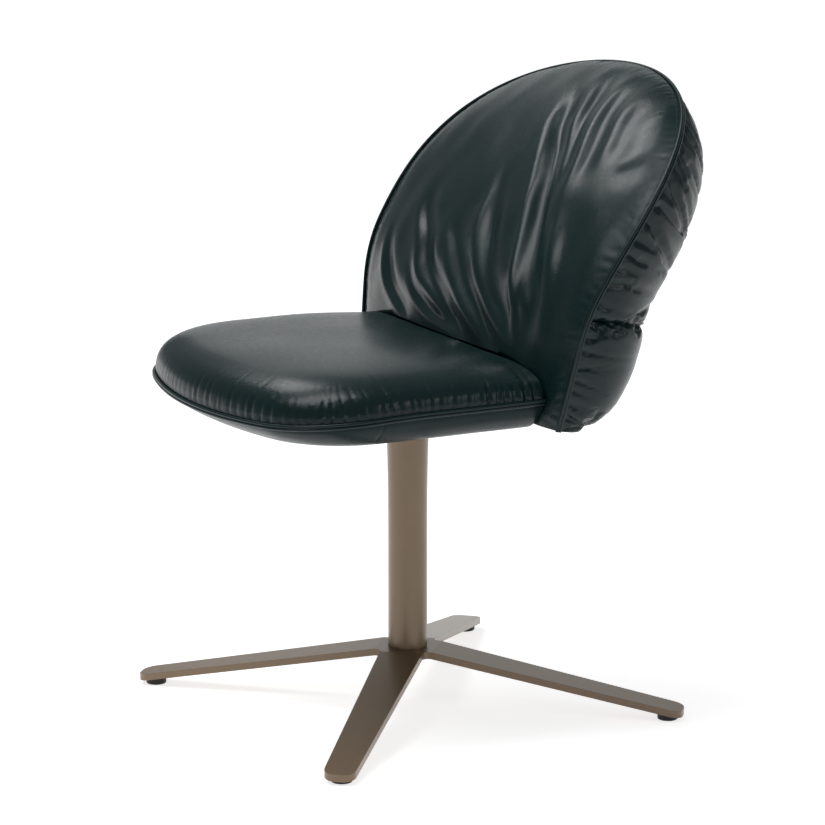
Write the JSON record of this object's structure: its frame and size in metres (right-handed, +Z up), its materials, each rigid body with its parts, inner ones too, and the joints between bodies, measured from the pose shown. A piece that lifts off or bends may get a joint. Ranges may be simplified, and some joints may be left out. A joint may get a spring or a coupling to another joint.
{
  "type": "swivel lounge chair",
  "caption": "Leather swivel chair with a crowned seat and a round wrap-over back, turning on a column with a low star base and floor glides.",
  "frame": {"origin": "on the floor under the column's axis", "axes": "+Z up along the column; the sitter faces -Y; +X is the sitter's left"},
  "size_m": [0.6088, 0.6562, 0.8072],
  "materials": {
    "bronze_metal": "satin bronze",
    "steel": "zinc plated",
    "black_steel": "black powder",
    "glide_nylon": "moulded",
    "bush_nylon": "turned",
    "plywood": "sanded",
    "leather": "glossy smooth grain",
    "welt_leather": "glossy smooth",
    "lining_cloth": "non-woven",
    "zip": "moulded"
  },
  "bodies": {
    "base": {"star_base": "bronze_metal", "column_tube": "bronze_metal", "column_foot": "steel", "base_bolt": "steel", "base_washer": "steel", "glide_1": "glide_nylon", "glide_2": "glide_nylon", "glide_3": "glide_nylon", "glide_4": "glide_nylon", "lower_bush": "bush_nylon", "upper_bush": "bush_nylon", "thrust_washer": "steel"},
    "seat": {"spindle": "steel", "retaining_ring": "steel", "seat_plate": "black_steel", "plate_screws": "steel", "bracket_seat_screws": "steel", "seat_tee_nuts": "steel", "seat_board": "plywood", "seat_welt": "welt_leather", "under_cover": "lining_cloth", "back_bracket_left": "black_steel", "back_bracket_right": "black_steel", "back_shell": "plywood", "back_screws": "steel", "back_tee_nuts": "steel", "back_welt": "welt_leather", "back_zip": "zip", "seat_band": "leather", "seat_cushion": "leather", "back_front_cushion": "leather", "back_upper_bolster": "leather", "back_lower_pouch": "leather"}
  },
  "joints": [
    {"name": "swivel", "type": "hinge", "parent": "base", "child": "seat", "pos_m": [0, 0, 0.4], "axis": [0, 0, 1], "continuous": true}
  ]
}
